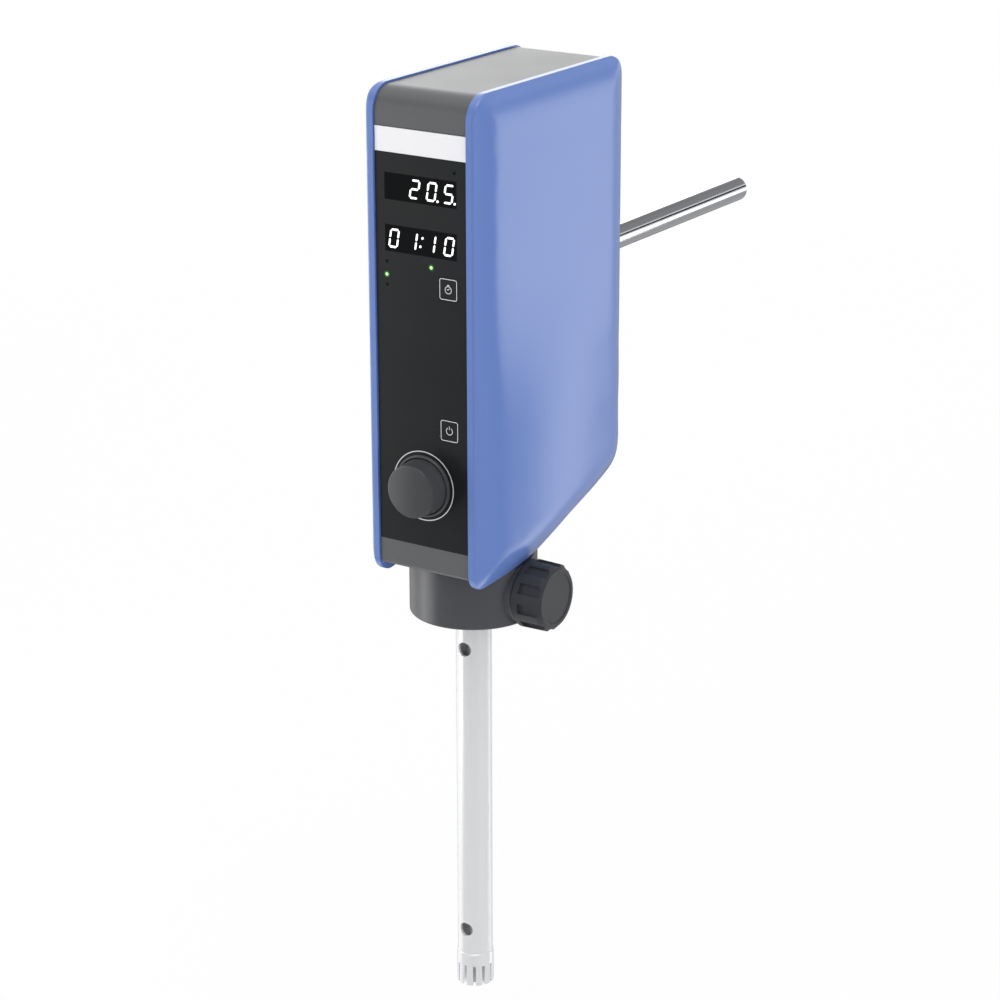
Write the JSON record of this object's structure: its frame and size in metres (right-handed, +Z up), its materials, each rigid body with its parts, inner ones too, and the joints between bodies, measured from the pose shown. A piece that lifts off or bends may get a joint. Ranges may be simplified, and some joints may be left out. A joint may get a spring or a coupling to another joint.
{
  "type": "rotor stator homogenizer",
  "caption": "Benchtop rotor-stator disperser drive on a support arm, with digital panel, rotary knob, clamp chuck and a slotted dispersing tool.",
  "frame": {"origin": "on the axis of the support arm, half way along its free length, where a boss head grips it", "axes": "+Z up along the tool axis, front panel towards -Y, support arm along +Y, clamp knob towards +X"},
  "size_m": [0.0889, 0.3217, 0.4766],
  "materials": {
    "housing_grey": "satin powder-coated casting",
    "cover_blue": "satin moulded plastic",
    "panel_black": "satin printed foil",
    "header_white": "satin printed foil, left bare",
    "window_smoke": "smoked lens",
    "display_black": "moulded black",
    "lamp_green": "clear light pipe",
    "board_green": "solder mask",
    "brass": "turned",
    "screw_steel": "zinc plated",
    "knob_grey": "fine textured plastic",
    "bright_steel": "ground",
    "collar_grey": "satin powder-coated casting",
    "seal_rubber": "moulded rubber",
    "clamp_black": "fine textured plastic",
    "motor_aluminium": "machined",
    "lamination_steel": "stamped laminations",
    "copper_wire": "enamelled copper wire",
    "magnet_grey": "sintered magnet",
    "tool_steel": "polished stainless steel",
    "ptfe_white": "PTFE",
    "arm_chrome": "ground and polished steel"
  },
  "bodies": {
    "drive": {"centre_housing": "housing_grey", "right_cover": "cover_blue", "left_cover": "cover_blue", "front_panel": "panel_black", "header_strip": "header_white", "speed_window": "window_smoke", "timer_window": "window_smoke", "speed_display": "display_black", "timer_display": "display_black", "indicator_lamps": "lamp_green", "key_switches": "display_black", "control_board": "board_green", "board_spacers": "brass", "board_screws": "screw_steel", "knob_bezel": "knob_grey", "encoder_body": "bright_steel", "chuck_collar": "collar_grey", "shank_sleeve": "bright_steel", "shaft_seal": "seal_rubber", "collar_screws": "screw_steel", "clamp_bush": "brass", "motor_front_plate": "motor_aluminium", "motor_rear_plate": "motor_aluminium", "front_bearing": "bright_steel", "rear_bearing": "bright_steel", "motor_can": "motor_aluminium", "stator_stack": "lamination_steel", "stator_windings": "copper_wire", "hall_board": "board_green", "support_arm": "arm_chrome", "arm_block": "motor_aluminium", "arm_set_screw": "screw_steel", "arm_block_screws": "screw_steel", "rear_panel": "housing_grey", "rear_panel_screws": "screw_steel", "power_inlet": "display_black", "inlet_pins": "bright_steel", "data_port": "bright_steel", "power_board": "board_green", "capacitors": "display_black", "heat_sink": "motor_aluminium"},
    "motor_rotor": {"motor_shaft": "bright_steel", "rotor_core": "lamination_steel", "rotor_magnets": "magnet_grey", "drive_coupling": "display_black"},
    "tool": {"shaft_tube": "tool_steel", "stator_head": "tool_steel", "upper_tool_bush": "ptfe_white", "lower_tool_bush": "ptfe_white"},
    "tool_rotor": {"tool_shaft": "tool_steel", "rotor": "tool_steel", "tool_coupling": "ptfe_white"},
    "clamp_pad": {"clamp_pad": "brass"},
    "clamp_knob": {"clamp_knob": "clamp_black", "clamp_spindle": "bright_steel"},
    "knob_plunger": {"encoder_plunger": "display_black"},
    "speed_knob": {"speed_knob": "knob_grey", "encoder_shaft": "bright_steel"},
    "timer_key": {"timer_key": "panel_black"},
    "power_key": {"power_key": "panel_black"}
  },
  "joints": [
    {"name": "motor_spin", "type": "hinge", "parent": "drive", "child": "motor_rotor", "pos_m": [0, -0.1775, -0.1307], "axis": [0, 0, 1], "continuous": true},
    {"name": "tool_slide", "type": "slide", "parent": "drive", "child": "tool", "axis": [0, 0, -1], "range_m": [0, 0.045]},
    {"name": "tool_spin", "type": "hinge", "parent": "tool", "child": "tool_rotor", "pos_m": [0, -0.1775, -0.1307], "axis": [0, 0, 1], "continuous": true},
    {"name": "clamp_advance", "type": "slide", "parent": "drive", "child": "clamp_pad", "axis": [1, 0, 0], "range_m": [0, 0.0025]},
    {"name": "clamp_turn", "type": "hinge", "parent": "clamp_pad", "child": "clamp_knob", "pos_m": [0.04, -0.1775, -0.1476], "axis": [1, 0, 0], "range_deg": [-720, 0]},
    {"name": "knob_push", "type": "slide", "parent": "drive", "child": "knob_plunger", "axis": [0, 1, 0], "range_m": [0, 0.0008], "stiffness_N_per_m": 1500},
    {"name": "knob_turn", "type": "hinge", "parent": "knob_plunger", "child": "speed_knob", "pos_m": [0, -0.2204, -0.0859], "axis": [0, 1, 0], "continuous": true},
    {"name": "timer_key_press", "type": "slide", "parent": "drive", "child": "timer_key", "axis": [0, 1, 0], "range_m": [0, 0.0005], "stiffness_N_per_m": 1500},
    {"name": "power_key_press", "type": "slide", "parent": "drive", "child": "power_key", "axis": [0, 1, 0], "range_m": [0, 0.0005], "stiffness_N_per_m": 1500}
  ],
  "couplings": [
    {"joint": "tool_spin", "follows": "motor_spin", "ratio": 1},
    {"joint": "clamp_turn", "follows": "clamp_advance", "rad_per_m": -5026.5}
  ]
}
